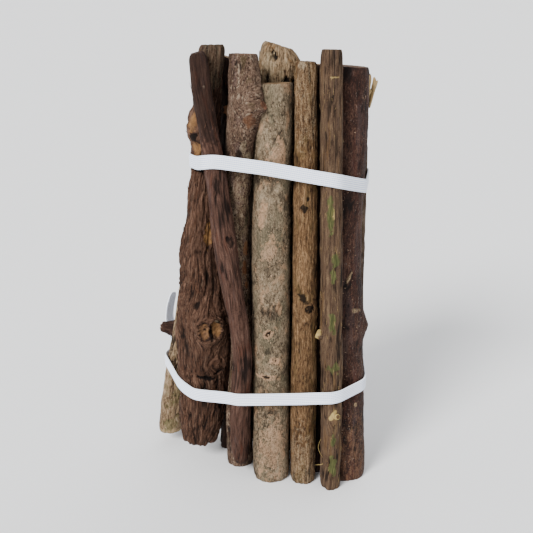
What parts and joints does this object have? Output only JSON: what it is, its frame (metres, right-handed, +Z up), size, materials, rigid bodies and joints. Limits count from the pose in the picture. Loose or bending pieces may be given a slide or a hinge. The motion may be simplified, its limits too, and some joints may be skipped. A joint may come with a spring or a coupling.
{
  "type": "bundle of twigs",
  "caption": "Bundle of short cut twigs and small branches that stands on its cut ends, tied low and high by flat white elastic bands.",
  "frame": {"origin": "middle of the bundle's footprint, on the surface that its cut ends stand on", "axes": "+Z up along the twigs from their feet to their heads, +X to the right across the wide front, +Y from the front to the back"},
  "size_m": [0.1066, 0.0716, 0.2081],
  "materials": {
    "pale_bark": "pale beige brown bark with olive patches, matt",
    "furrowed_bark": "dark brown bark, deeply furrowed, matt",
    "fibrous_bark": "dark purplish brown fibrous bark with lengthwise strands, matt",
    "mottled_bark": "purplish brown bark mottled beige, matt",
    "grey_bark": "smooth grey green bark with pinkish tan patches, matt",
    "weathered_wood": "weathered yellowish grey wood with peeling bark, matt",
    "ridged_bark": "tan brown bark with fine lengthwise ridges, matt",
    "streaked_bark": "dark brown bark with tan streaks and green algae, matt",
    "red_brown_bark": "smooth dark reddish brown bark with pale lenticels, faint sheen",
    "dark_bark": "thin reddish black bark, matt",
    "brown_bark": "plain brown bark, matt",
    "elastic": "white ribbed flat elastic with a bluish tint"
  },
  "bodies": {
    "root": {"pale_left_twig": "pale_bark", "gnarled_twig": "furrowed_bark", "leaning_fibrous_twig": "fibrous_bark", "mottled_twig": "mottled_bark", "grey_patched_twig": "grey_bark", "weathered_twig": "weathered_wood", "tan_ridged_twig": "ridged_bark", "green_streaked_twig": "streaked_bark", "red_brown_twig": "red_brown_bark", "torn_back_twig": "brown_bark", "thin_dark_twig": "dark_bark", "stubbed_back_twig": "dark_bark", "dark_back_twig": "dark_bark", "back_right_twig": "brown_bark", "back_middle_twig": "brown_bark", "back_left_twig": "brown_bark", "back_corner_twig": "brown_bark", "lower_elastic_band": "elastic", "upper_elastic_band": "elastic"}
  },
  "joints": []
}
